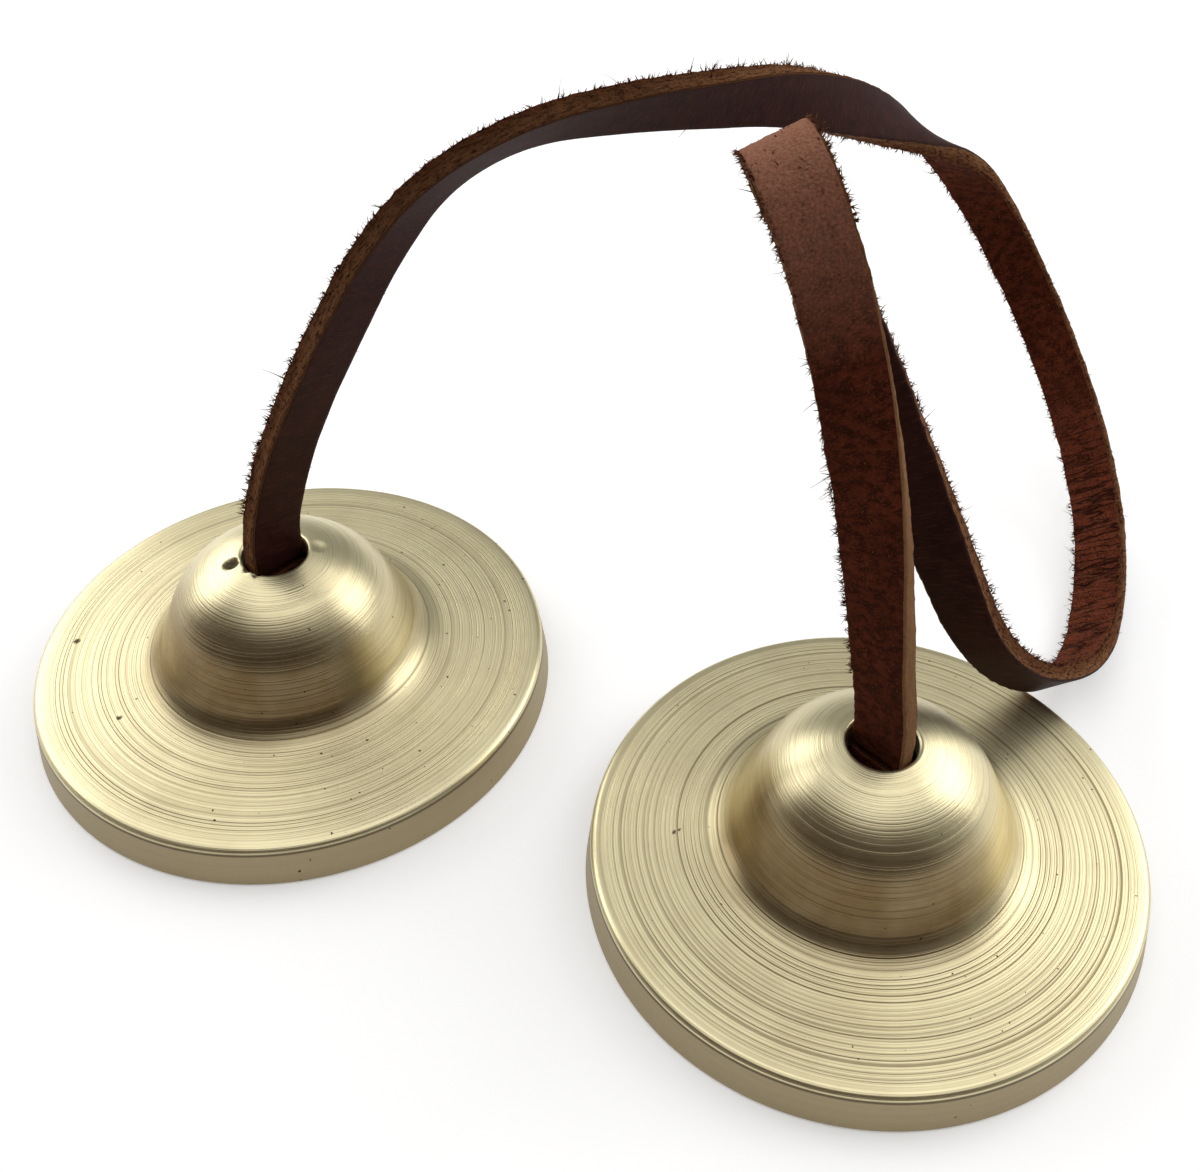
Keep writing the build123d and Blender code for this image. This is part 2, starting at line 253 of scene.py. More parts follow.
class CymbalSettings(bpy.types.PropertyGroup):
    diameter: length("Diameter", "Across the foot", 0.065)
    rim_height: length("Rim height", "Foot to the top edge of the rim", 0.0056)
    rim_flare: length("Rim flare", "How far the rim wall leans out", 0.0007)
    flange_slope: FloatProperty(
        name="Flange slope", description="Rise of the flange towards the middle", default=0.10)
    dome_arc: length("Dome arc", "Radius of the dome's outline", 0.0128)
    dome_offset: length("Dome offset", "The arc's centre from the axis", 0.0019)
    dome_height: length("Dome centre", "The arc's centre above the foot", 0.00955)
    dome_flank: FloatProperty(
        name="Dome flank", description="Slope of the dome's straight side", default=math.radians(68.0),
        subtype="ANGLE")
    dome_blend: length("Dome blend", "Hollow curve from flank to flange", 0.005)
    dome_wall: length("Dome wall", "Thickness of the dome", 0.0027)
    mouth_blend: length("Mouth blend", "Rounding of the hollow's mouth", 0.005)
    flange_thickness: length("Flange", "Thickness at the dome's edge", 0.0036)
    foot_width: length("Foot width", "Ring that stands on the floor", 0.0042)
    foot_step: length("Foot step", "Underside above the floor", 0.0022)
    foot_slant: length("Foot slant", "Slope inside the foot", 0.0016)
    edge_round: length("Edge round", "Worn rounding of the edges", 0.0004)
    rim_round: length("Rim round", "Rounding of the rim's top edge", 0.0009)
    hole_radius: length("Hole radius", "Hole in the dome's top", 0.0039)
    groove_depth: length("Groove depth", "Depth of the turning grooves", 0.000007)
    segments: IntProperty(
        name="Segments", description="Steps round the axis", default=240, min=24)
    roughness: FloatProperty(
        name="Roughness", description="Of the turned metal", subtype="FACTOR", default=0.34)
    metal_colour: colour("Metal", "Bare turned metal", (0.85, 0.765, 0.485))
    dull_colour: colour("Dull metal", "Handled metal between the grooves", (0.58, 0.48, 0.28))
    # Painted shade in the turning grooves and at the flange's step
    groove_shade_colour: colour("Grooves", "Dirt left in the turning grooves", (0.17, 0.125, 0.055))
    # Brown patina in the hollow at the dome's foot, mixed with a painted dark reflection that is strongest at
    # the front
    foot_patina_and_painted_shade_colour: colour("Tarnish", "Brown film in the corner at the dome's foot", (0.21, 0.135, 0.058))
    # The rim wall and underside: dull cast metal, darkened further as painted shade in place of the dark
    # floor they reflect
    dull_wall_and_painted_shade_colour: colour("Rim wall", "Dull wall and underside", (0.34, 0.275, 0.165))
    # Stains and specks, and also painted shade in the pit by the left hole and a painted dark reflection
    # under the rim's edge
    stain_and_painted_shade_colour: colour("Stain", "Specks and pits", (0.05, 0.03, 0.016))


class StrapSettings(bpy.types.PropertyGroup):
    width: length("Width", "Across the strap", 0.0069)
    thickness: length("Thickness", "Through the leather", 0.0022)
    corner: length("Corner", "Rounding of the cut corners", 0.0003)
    fuzz_length: length("Fuzz", "Usual length of a loose fibre", 0.0007)
    fuzz_count: IntProperty(
        name="Tufts", description="Tufts of loose fibres on the strap", default=5200, min=0)
    grain_colour: colour("Grain", "Smooth face", (0.037, 0.0108, 0.0077))
    flesh_colour: colour("Flesh", "Rough face", (0.108, 0.022, 0.009))
    # Painted light: the top of the fold is lighter because it faces the light from above
    painted_fold_light_colour: colour("Fold", "Fibres opened by the fold at the top", (0.44, 0.205, 0.13))
    edge_colour: colour("Cut edge", "Bare cut sides", (0.19, 0.074, 0.030))
    worn_edge_colour: colour("Worn edge", "Cut sides rubbed smooth above the right hole", (0.36, 0.19, 0.09))


class StageSettings(bpy.types.PropertyGroup):
    floor_colour: colour("Floor", "Pale floor", (0.88, 0.88, 0.88))
    left_power: FloatProperty(
        name="Left lamp", description="Soft lamp on the left", default=1.35, unit="POWER")
    right_power: FloatProperty(
        name="Right lamp", description="Soft lamp at the right back", default=1.6, unit="POWER")
    ceiling_colour: colour("Ceiling", "Light from straight above", (1.3, 1.3, 1.3), soft_max=2.0)
    horizon_colour: colour("Walls", "Light from the walls", (0.25, 0.255, 0.25))
    front_colour: colour("Front shade", "Light from the camera's side", (0.055, 0.034, 0.02))


class Nodes:
    """A node tree under construction, with short calls for its nodes."""

    def __init__(self, owner):
        owner.use_nodes = True
        self.tree = owner.node_tree
        self.tree.nodes.clear()

    def node(self, kind, inputs=None, **settings):
        made = self.tree.nodes.new("ShaderNode" + kind)
        for key, value in settings.items():
            setattr(made, key, value)
        for key, value in (inputs or {}).items():
            self.feed(made.inputs[key], value)
        return made

    def feed(self, socket, value):
        if isinstance(value, bpy.types.NodeSocket):
            self.tree.links.new(value, socket)
        elif socket.type == "RGBA" and len(value) == 3:
            socket.default_value = (*value, 1.0)
        else:
            socket.default_value = value

    def math(self, operation, a, b=0.0, c=0.0):
        return self.node("Math", {0: a, 1: b, 2: c}, operation=operation).outputs[0]

    def times(self, a, b):
        return self.math("MULTIPLY", a, b)

    def apart(self, a, b):
        return self.math("ABSOLUTE", self.math("SUBTRACT", a, b))

    def vector(self, operation, *values):
        return self.node("VectorMath", dict(enumerate(values)), operation=operation).outputs

    def stretch(self, vector, factors):
        return self.vector("MULTIPLY", vector, factors)["Vector"]

    def split(self, vector):
        return self.node("SeparateXYZ", {0: vector}).outputs

    def mix(self, factor, a, b):
        return self.node("Mix", {0: factor, 6: a, 7: b}, data_type="RGBA").outputs[2]

    def range(self, value, low, high, to_low=0.0, to_high=1.0, curve="LINEAR"):
        inputs = {"Value": value, "From Min": low, "From Max": high, "To Min": to_low, "To Max": to_high}
        return self.node("MapRange", inputs, interpolation_type=curve).outputs["Result"]

    def between(self, value, rise, fall):
        return self.times(self.range(value, *rise), self.range(value, *fall))

    def noise(self, vector, scale, detail=2.0, rough=0.5, w=None):
        inputs = {"Vector": vector, "Scale": scale, "Detail": detail, "Roughness": rough}
        if w is None:
            return self.node("TexNoise", inputs).outputs["Fac"]
        return self.node("TexNoise", {**inputs, "W": w}, noise_dimensions="4D").outputs["Fac"]


class Finish(Nodes):
    """A material under construction."""

    def __init__(self, name):
        self.material = bpy.data.materials.new(name)
        super().__init__(self.material)

    def strap_place(self):
        """Length along the strap and way round it, in metres and in millimetres."""
        metres = self.node("TexCoord").outputs["UV"]
        return metres, self.stretch(metres, (MILLIMETRES, MILLIMETRES, MILLIMETRES))

    def bump(self, height, distance, strength):
        inputs = {"Height": height, "Distance": distance, "Strength": strength}
        return self.node("Bump", inputs).outputs["Normal"]

    def surface(self, **inputs):
        shader = self.node("BsdfPrincipled")
        for key, value in inputs.items():
            self.feed(shader.inputs[key.replace("_", " ")], value)
        self.node("OutputMaterial", {"Surface": shader.outputs[0]})
        return self.material


def tinted(colour, red, green=None, blue=None):
    """A colour with its parts multiplied, all by the first number if it is the only one."""
    factors = (red, red if green is None else green, red if blue is None else blue)
    return tuple(factor * part for factor, part in zip(factors, colour))


def turning_lines(finish, radius, across, around, pitch, stray, half):
    """Grooves at an even pitch that wander a little: 1 in the middle of each, 0 between them."""
    wander = finish.times(finish.noise(across, 0.8, 2.0, 0.5, around), stray)
    turns = finish.math("MULTIPLY_ADD", radius, 1.0 / pitch, wander)
    return finish.range(finish.math("PINGPONG", turns, 0.5), 0.0, half, 1.0, 0.0)


def stain_and_pit_shade_dots(finish, spot, stains_and_pit_shade, widest):
    """Fine specks in loose clusters and the dark marks at their places, stains and painted pit shade: 1 on a
    mark, 0 elsewhere.
    """
    shake = finish.node("TexNoise", {"Vector": spot, "Scale": 2600.0, "Detail": 2.0}).outputs["Color"]
    ragged = finish.vector("MULTIPLY_ADD", shake, (STAIN_SHAKE, STAIN_SHAKE, STAIN_SHAKE), spot)["Vector"]
    cells = {"Vector": ragged, "Scale": SPECKS_PER_METRE, "Randomness": 1.0}
    cells = finish.node("TexVoronoi", cells).outputs
    pick = finish.node("SeparateColor", {0: cells["Color"]}).outputs
    wide = finish.range(pick["Green"], 0.0, 1.0, NARROWEST_SPECK, widest)
    often = finish.range(finish.noise(spot, 45.0, 1.0, 0.5), 0.44, 0.62, 0.92, 0.52)
    dots = finish.times(finish.math("LESS_THAN", cells["Distance"], wide),
                        finish.math("GREATER_THAN", pick["Red"], often))
    for centre, spread in stains_and_pit_shade:
        away = finish.vector("DISTANCE", ragged, centre)["Value"]
        dots = finish.math("MAXIMUM", dots, finish.range(away, spread, spread * 0.6))
    return dots


def turned_bell_metal(name, size, seed, stains_and_pit_shade, grooves, widest):
    """Bare turned metal: grooves round the axis with painted shade in them, patina with a painted dark
    reflection at the dome's foot, a dull rim wall darkened as painted shade, specks, and dark marks at given
    places: stains, and painted shade in a pit.
    """
    finish = Finish(name)
    place = finish.node("TexCoord").outputs
    spot = place["Object"]
    axes = finish.split(spot)
    flat = finish.node("CombineXYZ", {"X": axes["X"], "Y": axes["Y"]}).outputs[0]
    radius = finish.vector("LENGTH", flat)["Value"]
    aims = finish.split(finish.vector("NORMALIZE", flat)["Vector"])
    across = finish.node("CombineXYZ", {
        "X": finish.times(radius, MILLIMETRES),
        "Y": finish.times(axes["Z"], MILLIMETRES),
        "Z": finish.math("MULTIPLY_ADD", aims["X"], GROOVE_DRIFT, seed)}).outputs[0]
    around = finish.times(aims["Y"], GROOVE_DRIFT)

    # grooves, deeper on the flange than on the dome, and the step where the flange begins
    broad = turning_lines(finish, radius, across, around, BROAD_PITCH, 3.5, 0.16)
    close = turning_lines(finish, radius, across, around, CLOSE_PITCH, 5.0, 0.24)
    hair = finish.noise(across, 5.0, 1.5, 0.6, around)
    bite = finish.noise(across, 0.9, 1.0, 0.5, finish.times(aims["Y"], 0.5))
    bite = finish.range(bite, 0.30, 0.54, 0.35, 1.0)
    flange = finish.between(radius, *FLANGE)
    deep = finish.times(finish.range(flange, 0.0, 1.0, 0.10, grooves), bite)
    shallow = finish.range(flange, 0.0, 1.0, 0.22, 0.30)
    step = finish.range(finish.apart(radius, TOOL_STEP), 0.0, TOOL_STEP_HALF, 0.8, 0.0)
    cut = finish.math("MAXIMUM", finish.times(broad, deep), step)
    cut = finish.math("MULTIPLY_ADD", close, shallow, cut)

    # handled metal; brown patina at the dome's foot with a painted dark reflection that grows towards the
    # front; the dull rim wall and underside, darkened further as painted shade; and a painted dark reflection
    # along the rim's top edge
    cloud = finish.noise(spot, 120.0, 3.0, 0.6)
    colour = finish.mix(finish.range(cloud, 0.42, 0.75, 0.0, 0.35), size.metal_colour, size.dull_colour)
    colour = finish.mix(finish.range(hair, 0.52, 0.32, 0.0, 0.40), colour, size.dull_colour)
    # patina at the dome's foot; the part that grows towards the front is a painted dark reflection
    patina_and_painted_shade = finish.times(finish.between(radius, *DOME_FOOT), finish.range(cloud, 0.30, 0.62, 0.85, 1.0))
    patina_and_painted_shade = finish.times(patina_and_painted_shade, finish.range(aims["Y"], -0.1, -0.6, 0.3, 0.95))
    colour = finish.mix(patina_and_painted_shade, colour, size.foot_patina_and_painted_shade_colour)
    # painted shade in the grooves and at the step
    colour = finish.mix(finish.times(cut, 0.85), colour, size.groove_shade_colour)
    facing = finish.split(place["Normal"])["Z"]
    rim = finish.range(radius, *RIM_WALL)
    wall = finish.times(rim, finish.range(axes["Z"], *RIM_WALL_TOP))
    wall = finish.math("MAXIMUM", wall, finish.range(facing, -0.05, -0.3))
    # dull rim wall and underside, also darker as painted shade
    colour = finish.mix(finish.times(wall, 0.92), colour, size.dull_wall_and_painted_shade_colour)
    # painted dark reflection: a line along the rounding under the rim's top edge, in the stain colour
    line = finish.range(finish.apart(axes["Z"], PAINTED_RIM_REFLECTION), *PAINTED_RIM_REFLECTION_FADE, 0.85, 0.0)
    colour = finish.mix(finish.times(line, rim), colour, size.stain_and_painted_shade_colour)
    dots = stain_and_pit_shade_dots(finish, spot, stains_and_pit_shade, widest)
    colour = finish.mix(finish.times(dots, 0.85), colour, size.stain_and_painted_shade_colour)

    grime = finish.noise(spot, 1500.0, 3.0, 0.65)
    rough = finish.range(grime, 0.3, 0.7, size.roughness - 0.02, size.roughness + 0.02)
    for duller, more in ((dots, 0.3), (wall, 0.16), (flange, 0.10)):
        rough = finish.math("MULTIPLY_ADD", duller, more, rough)
    relief = finish.math("MULTIPLY_ADD", hair, 0.20, finish.times(cut, -1.0))
    normal = finish.bump(relief, METAL_RELIEF, 0.75)
    tangent = finish.node("Tangent", direction_type="RADIAL", axis="Z").outputs[0]
    return finish.surface(
        Base_Color=colour, Metallic=1.0, Roughness=rough, Normal=normal, Tangent=tangent,
        Anisotropic=0.3, Anisotropic_Rotation=0.25)


def rough_flesh(size):
    """The strap's fuzzy face: mottled red-brown with dark hollows, crosswise streaks and pale fibre ends,
    with painted light on the fold at the top and painted shade in the cracks of the wrinkled stretch.
    """
    finish = Finish("rough_flesh")
    metres, millimetres = finish.strap_place()
    travelled = finish.split(metres)["X"]
    crosswise = finish.stretch(millimetres, (1.0, 0.7, 1.0))
    cloud = finish.noise(millimetres, 0.16, 2.0, 0.5)
    nap = finish.noise(crosswise, 0.95, 4.0, 0.62)
    fibre = finish.noise(crosswise, 4.0, 4.0, 0.7)
    dark = tinted(size.flesh_colour, 0.36)
    pale = tinted(size.flesh_colour, 2.0, 2.6, 3.0)
    colour = finish.mix(finish.range(nap, 0.42, 0.57), dark, size.flesh_colour)
    colour = finish.mix(finish.range(fibre, 0.52, 0.72, 0.0, 0.8), colour, pale)
    colour = finish.mix(finish.range(cloud, 0.40, 0.66, 0.0, 0.45), colour, dark)
    # painted light on the fold at the top, which faces up to the light, broken by the fibres
    fold = finish.times(finish.between(travelled, *FOLD), finish.range(fibre, 0.35, 0.60, 0.45, 0.95))
    colour = finish.mix(fold, colour, size.painted_fold_light_colour)
    ridge = finish.apart(finish.noise(finish.stretch(millimetres, (1.0, 0.16, 1.0)), 0.5, 3.0, 0.55), 0.5)
    bent = finish.between(travelled, *WRINKLED)
    crack_and_its_shade = finish.times(finish.range(ridge, 0.004, 0.035, 1.0, 0.0), bent)
    colour = finish.mix(finish.times(bent, finish.range(fibre, 0.38, 0.60, 0.0, 0.7)), colour, pale)
    # painted shade in the cracks of the wrinkled stretch
    colour = finish.mix(finish.times(crack_and_its_shade, 0.85), colour, tinted(dark, 0.3))
    height = finish.math("MULTIPLY_ADD", crack_and_its_shade, -0.9, finish.math("MULTIPLY_ADD", fibre, 0.6, nap))
    normal = finish.bump(height, FLESH_RELIEF, 0.8)
    return finish.surface(
        Base_Color=colour, Roughness=0.95, Normal=normal, Specular_IOR_Level=0.06, Sheen_Weight=0.05,
        Sheen_Roughness=0.5, Sheen_Tint=(0.75, 0.45, 0.32))


def smooth_grain(size):
    """The strap's dyed grain face: dark maroon with fine crosswise lines, pores and a dull sheen."""
    finish = Finish("smooth_grain")
    millimetres = finish.strap_place()[1]
    cloud = finish.noise(millimetres, 0.35, 3.0, 0.6)
    lines = finish.noise(finish.stretch(millimetres, (3.0, 0.30, 1.0)), 1.4, 4.0, 0.65)
    pores = finish.node("TexVoronoi", {"Vector": millimetres, "Scale": 3.2}).outputs["Distance"]
    dark = tinted(size.grain_colour, 0.6)
    pale = tinted(size.grain_colour, 2.4, 2.5, 2.4)
    colour = finish.mix(finish.range(cloud, 0.35, 0.7), dark, size.grain_colour)
    colour = finish.mix(finish.range(lines, 0.52, 0.72, 0.0, 0.8), colour, pale)
    rough = finish.range(lines, 0.3, 0.7, 0.50, 0.64)
    height = finish.math("MULTIPLY_ADD", lines, 0.9, finish.range(pores, 0.0, 0.35))
    normal = finish.bump(height, GRAIN_RELIEF, 0.55)
    return finish.surface(Base_Color=colour, Roughness=rough, Normal=normal, Specular_IOR_Level=0.05)


def cut_edge(size):
    """The strap's bare cut sides: pale and close beside the grain, dark loose strands beside the flesh."""
    finish = Finish("cut_edge")
    metres, millimetres = finish.strap_place()
    ways = finish.split(metres)
    travelled, way_round = ways["X"], ways["Y"]
    fibre = finish.noise(finish.stretch(millimetres, (0.55, 2.2, 1.0)), 1.7, 5.0, 0.7)
    fleck = finish.noise(millimetres, 3.2, 4.0, 0.7)
    cloud = finish.noise(millimetres, 0.22, 2.0)
    turn = size.corner * math.pi / 2
    face = size.width - 2 * size.corner
    side = size.thickness - 2 * size.corner
    flesh_middle = 1.5 * face + side + 2 * turn
    edge_from = face / 2 + turn
    toward_grain = finish.range(finish.apart(way_round, flesh_middle), edge_from, edge_from + side)
    toward_grain = finish.math("ADD", toward_grain, finish.range(cloud, 0.3, 0.7, -0.35, 0.35))
    dark = tinted(size.edge_colour, 0.22)
    pale = tinted(size.edge_colour, 1.5, 1.75, 1.9)
    bent = finish.between(travelled, *DARK_BEND)
    colour = finish.mix(finish.range(toward_grain, 0.25, 0.8), size.edge_colour, pale)
    colour = finish.mix(finish.times(bent, 0.6), colour, tinted(size.edge_colour, 0.42))
    colour = finish.mix(finish.range(fibre, 0.52, 0.38), colour, dark)
    colour = finish.mix(finish.range(fleck, 0.55, 0.68, 0.0, 0.6), colour, EDGE_FLECK_COLOUR)
    colour = finish.mix(finish.range(fleck, 0.43, 0.33, 0.0, 0.9), colour, tinted(dark, 0.6))
    colour = finish.mix(finish.range(travelled, *WORN_EDGE, 0.0, 0.7), colour, size.worn_edge_colour)
    normal = finish.bump(finish.math("ADD", fibre, fleck), EDGE_RELIEF, 0.85)
    return finish.surface(Base_Color=colour, Roughness=0.95, Normal=normal, Specular_IOR_Level=0.06)


def loose_fibre(size):
    """Single fibres that stand off the strap, tan to dark brown by where they grow."""
    finish = Finish("loose_fibre")
    patch = finish.noise(finish.node("TexCoord").outputs["Object"], 900.0, 2.0)
    dark = tinted(size.flesh_colour, 0.5)
    colour = finish.mix(finish.range(patch, 0.42, 0.62), dark, size.edge_colour)
    return finish.surface(Base_Color=colour, Roughness=0.9, Specular_IOR_Level=0.12)


def add_mesh(name, corners, faces, finishes, face_finish=None, spots=None):
    """A smooth-shaded mesh object; spots are one pair of texture coordinates per corner."""
    mesh = bpy.data.meshes.new(name)
    mesh.from_pydata(corners, [], faces)
    for finish in finishes:
        mesh.materials.append(finish)
    mesh.polygons.foreach_set("use_smooth", [True] * len(faces))
    if face_finish:
        mesh.polygons.foreach_set("material_index", face_finish)
    if spots:
        layer = mesh.uv_layers.new(name="strap_place")
        flat = []
        for loop in mesh.loops:
            flat.extend(spots[loop.vertex_index])
        layer.data.foreach_set("uv", flat)
    mesh.validate()
    mesh.update()
    piece = bpy.data.objects.new(name, mesh)
    bpy.context.scene.collection.objects.link(piece)
    return piece


def arc(centre, radius, start, end, step):
    """Points of an arc in the half section, from angle start to angle end."""
    count = max(4, math.ceil(abs(end - start) * radius / step))
    angles = [start + (end - start) * k / count for k in range(count + 1)]
    return [(centre[0] + radius * math.cos(a), centre[1] + radius * math.sin(a)) for a in angles]


def straight(a, b, step):
    """Points between a and b in the half section, without the two ends."""
    count = max(1, math.ceil(math.dist(a, b) / step))
    return [(a[0] + (b[0] - a[0]) * k / count, a[1] + (b[1] - a[1]) * k / count) for k in range(1, count)]


def round_corner(before, corner, after, radius, step):
    """Points of the arc that rounds one corner between two straight runs."""
    here = Vector(corner)
    back = (Vector(before) - here).normalized()
    on = (Vector(after) - here).normalized()
    half = back.angle(on) / 2
    centre = here + (back + on).normalized() * (radius / math.sin(half))
    first = here + back * (radius / math.tan(half)) - centre
    last = here + on * (radius / math.tan(half)) - centre
    start = math.atan2(first.y, first.x)
    turn = math.atan2(first.x * last.y - first.y * last.x, first.dot(last))
    return arc(centre, radius, start, start + turn, step)


def cymbal_outline(size):
    """Half section of a cymbal as radius and height, round from the top of the hole."""
    foot = size.diameter / 2
    rim = (foot - size.rim_flare, size.rim_height)
    slope = size.flange_slope
    edge = size.edge_round
    dome = Vector((size.dome_offset, size.dome_height))
    outer = size.dome_arc
    inner = outer - size.dome_wall

    lean = math.pi / 2 - size.dome_flank
    fall = math.tan(size.dome_flank)
    side = Vector((math.cos(lean), math.sin(lean)))
    shoulder = dome + side * outer
    inner_shoulder = dome + side * inner
    lip_radius = size.hole_radius + edge
    lip_across = (lip_radius - dome.x) ** 2
    lip = Vector((lip_radius, dome.y + math.sqrt((outer - edge) ** 2 - lip_across)))
    under_lip = Vector((lip_radius, dome.y + math.sqrt((inner + edge) ** 2 - lip_across)))
    skirt_radius = (shoulder.y + fall * shoulder.x - rim[1] - slope * rim[0]) / (fall - slope)
    skirt = (skirt_radius, rim[1] + slope * (rim[0] - skirt_radius))
    under = skirt[1] - size.flange_thickness
    mouth = (inner_shoulder.x + (inner_shoulder.y - under) / fall, under)
    foot_out, foot_in = (foot, 0.0), (foot - size.foot_width, 0.0)
    step = (foot_in[0] - size.foot_slant, size.foot_step)

    def toward(a, b):
        return math.atan2(b.y - a.y, b.x - a.x)

    outline = arc(lip, edge, math.pi, toward(dome, lip), EDGE_STEP)
    outline += arc(dome, outer, toward(dome, lip), lean, DOME_STEP)[1:]

    def run_on(before, corner, after, radius, step_before, step_round):
        rounding = round_corner(before, corner, after, radius, step_round)
        outline.extend(straight(outline[-1], rounding[0], step_before) + rounding)

    run_on(shoulder, skirt, rim, size.dome_blend, DOME_STEP, DOME_STEP)
    run_on(outline[-1], rim, foot_out, size.rim_round, FLANGE_STEP, EDGE_STEP)
    run_on(rim, foot_out, foot_in, edge, WALL_STEP, EDGE_STEP)
    run_on(foot_out, foot_in, step, edge, PLAIN_STEP, INNER_EDGE_STEP)
    run_on(foot_in, step, mouth, size.foot_slant, PLAIN_STEP, WALL_STEP)
    run_on(step, mouth, inner_shoulder, size.mouth_blend, PLAIN_STEP, MOUTH_STEP)
    outline += straight(outline[-1], inner_shoulder, PLAIN_STEP)
    outline += arc(dome, inner, lean, toward(dome, under_lip), PLAIN_STEP)
    outline += arc(under_lip, edge, toward(under_lip, dome) + 2 * math.pi, math.pi, INNER_EDGE_STEP)[1:]
    outline += straight(outline[-1], outline[0], MOUTH_STEP)
    return outline


def turn_cymbal(name, centre_x, size, finish, seed, dents):
    """One cymbal turned about its axis, with grooves, the slight waves of a hand-held tool and its dents."""
    outline = cymbal_outline(size)
    count = len(outline)
    corners = []
    for i, (r, z) in enumerate(outline):
        before = Vector(outline[i - 1])
        after = Vector(outline[(i + 1) % count])
        out = Vector((before.y - after.y, after.x - before.x)).normalized()
        for k in range(size.segments):
            angle = 2 * math.pi * k / size.segments
            cos, sin = math.cos(angle), math.sin(angle)
            groove = noise.noise(Vector((r * 2100, z * 2100 + seed, cos * 0.5 + sin * 0.3)))
            groove += 0.6 * noise.noise(Vector((r * 850, z * 850 - seed, cos * 0.7 - sin * 0.4)))
            wave = noise.noise(Vector((r * cos * 110 + seed, r * sin * 110, z * 110)))
            push = size.groove_depth * groove + TOOL_WAVE * wave
            here = Vector((r * cos, r * sin, z))
            for middle, spread, depth in dents:
                near = (here - Vector(middle)).length / spread
                if near < 1.0:
                    push -= depth * (1.0 - near * near) ** 2
            corners.append(here + Vector((out.x * cos, out.x * sin, out.y)) * push)
    faces = []
    for i in range(count):
        row, on = i * size.segments, (i + 1) % count * size.segments
        for k in range(size.segments):
            side = (k + 1) % size.segments
            faces.append((row + k, on + k, on + side, row + side))
    cymbal = add_mesh(name, corners, faces, [finish])
    cymbal.location = (centre_x, 0.0, 0.0)
    return cymbal


def strap_spline(points):
    """The points that one smooth spline has with these control points."""
    curve = bpy.data.curves.new("strap_line", "CURVE")
    curve.dimensions = "3D"
    spline = curve.splines.new("NURBS")
    spline.points.add(len(points) - 1)
    for place, point in zip(spline.points, points):
        place.co = (*point, 1.0)
    spline.order_u = 3
    spline.use_endpoint_u = True
    spline.resolution_u = 20
    carrier = bpy.data.objects.new("strap_line", curve)
    mesh = bpy.data.meshes.new_from_object(carrier)
    line = [corner.co.copy() for corner in mesh.vertices]
    bpy.data.objects.remove(carrier)
    bpy.data.curves.remove(curve)
    bpy.data.meshes.remove(mesh)
    return line


def strap_stations(route):
    """Place, way along, way across, grain side and length so far, all along a strap's route."""
    middles = strap_spline([place for place, across in route])
    sides = strap_spline([place + across * SIDE_LINE for place, across in route])
    stations = []
    travelled = 0.0
    last = len(middles) - 1
    for i, place in enumerate(middles):
        along = (middles[min(i + 1, last)] - middles[max(i - 1, 0)]).normalized()
        across = sides[i] - place
        across = (across - along * across.dot(along)).normalized()
        if i:
            travelled += (place - middles[i - 1]).length
        stations.append((place, along, across, along.cross(across), travelled))
    return stations


def strap_section(size):
    """The strap's section: share across, share through, outward direction, side, way round."""
    half, deep, corner = size.width / 2, size.thickness / 2, size.corner
    runs = [
        ("grain", (half - corner, deep), (corner - half, deep), (0.0, 1.0), FACE_STEPS),
        ("low_edge", (-half, deep - corner), (-half, corner - deep), (-1.0, 0.0), EDGE_STEPS),
        ("flesh", (corner - half, -deep), (half - corner, -deep), (0.0, -1.0), FACE_STEPS),
        ("high_edge", (half, corner - deep), (half, deep - corner), (1.0, 0.0), EDGE_STEPS),
    ]
    section = []
    travelled = 0.0
    for n, (side, start, end, out, count) in enumerate(runs):
        for k in range(count + 1):
            share = k / count
            point = (start[0] + (end[0] - start[0]) * share, start[1] + (end[1] - start[1]) * share)
            section.append((point, out, side, travelled + math.dist(start, point)))
        travelled += math.dist(start, end)
        bend = runs[(n + 1) % len(runs)][3]
        lean = Vector((out[0] + bend[0], out[1] + bend[1])).normalized()
        centre = (math.copysign(half - corner, end[0]), math.copysign(deep - corner, end[1]))
        point = (centre[0] + lean.x * corner, centre[1] + lean.y * corner)
        section.append((point, tuple(lean), side, travelled + corner * CORNER_HALFWAY))
        travelled += corner * CORNER_ROUND
    return section


def leather_push(side, s, p):
    """How far the leather stands out at length s and way round p, in metres."""
    mm, round_mm = s * 1000, p * 1000
    push = LEATHER_PUSH[side] * noise.fractal(Vector((mm * 0.8, round_mm * 0.8, 3.0)), 0.6, 2.0, 4)
    if side == "flesh":
        crease = noise.noise(Vector((mm * 0.5, round_mm * 0.10, 9.0)))
        tight = max(0.0, 1.0 - abs(s - CREASES_AT) / CREASES_REACH)
        push -= CREASE_DEPTH * tight * max(0.0, 1.0 - abs(crease) * 4.0)
    return push


